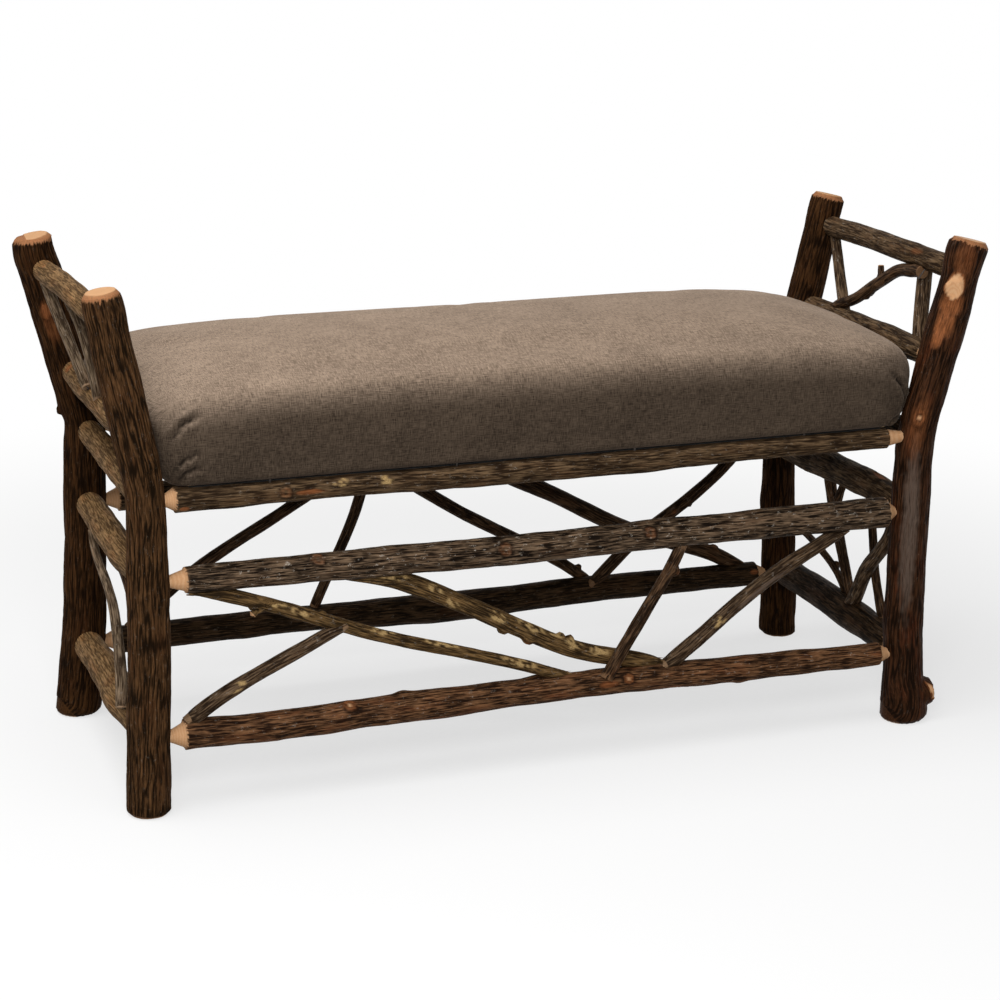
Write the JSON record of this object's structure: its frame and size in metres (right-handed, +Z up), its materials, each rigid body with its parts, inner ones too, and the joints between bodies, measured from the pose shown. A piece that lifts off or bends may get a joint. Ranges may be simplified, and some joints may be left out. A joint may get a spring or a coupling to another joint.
{
  "type": "log bench",
  "caption": "Rustic log bench with flared bark-covered posts, twig panels between log rails and an upholstered seat",
  "frame": {"origin": "on the floor, midway between the setting-out lines of the four posts", "axes": "X runs along the bench, to the right as seen from the front; Y runs from the front to the back; Z is up"},
  "size_m": [1.4009, 0.5303, 0.7673],
  "materials": {
    "post_bark": "dark ridged bark, left on, with pale sawn tops",
    "rail_bark": "grey-brown bark, left on, with pale turned tenons",
    "twig_bark": "thin grey-brown twig bark with pale cut ends",
    "seat_fabric": "heathered taupe tweed upholstery weave",
    "seat_foam": "cut upholstery foam",
    "plywood": "plain unfinished plywood",
    "dust_cloth": "black woven dust cloth",
    "fastener_steel": "plain steel nails, screws and staples"
  },
  "bodies": {
    "root": {"back_left_post": "post_bark", "back_lower_stretcher": "rail_bark", "back_right_post": "post_bark", "back_seat_rail": "rail_bark", "back_twig_1": "twig_bark", "back_twig_2": "twig_bark", "back_twig_3": "twig_bark", "back_twig_4": "twig_bark", "back_twig_5": "twig_bark", "back_twig_nails": "fastener_steel", "back_upper_stretcher": "rail_bark", "cover_staples": "fastener_steel", "dust_cover": "dust_cloth", "front_left_post": "post_bark", "front_lower_stretcher": "rail_bark", "front_right_post": "post_bark", "front_seat_rail": "rail_bark", "front_twig_1": "twig_bark", "front_twig_2": "twig_bark", "front_twig_3": "twig_bark", "front_twig_4": "twig_bark", "front_twig_5": "twig_bark", "front_twig_nails": "fastener_steel", "front_upper_stretcher": "rail_bark", "left_arm_rail": "rail_bark", "left_arm_twig_1": "twig_bark", "left_arm_twig_2": "twig_bark", "left_arm_twig_nails": "fastener_steel", "left_lower_side_rail": "rail_bark", "left_side_seat_rail": "rail_bark", "left_side_twig_1": "twig_bark", "left_side_twig_2": "twig_bark", "left_side_twig_nails": "fastener_steel", "left_top_rail": "rail_bark", "left_upper_side_rail": "rail_bark", "right_arm_rail": "rail_bark", "right_arm_twig_1": "twig_bark", "right_arm_twig_2": "twig_bark", "right_arm_twig_3": "twig_bark", "right_arm_twig_nails": "fastener_steel", "right_lower_side_rail": "rail_bark", "right_side_seat_rail": "rail_bark", "right_side_twig_1": "twig_bark", "right_side_twig_2": "twig_bark", "right_side_twig_3": "twig_bark", "right_side_twig_4": "twig_bark", "right_side_twig_nails": "fastener_steel", "right_top_rail": "rail_bark", "right_upper_side_rail": "rail_bark", "seat_board": "plywood", "seat_cover": "seat_fabric", "seat_foam": "seat_foam", "seat_screws": "fastener_steel"}
  },
  "joints": []
}
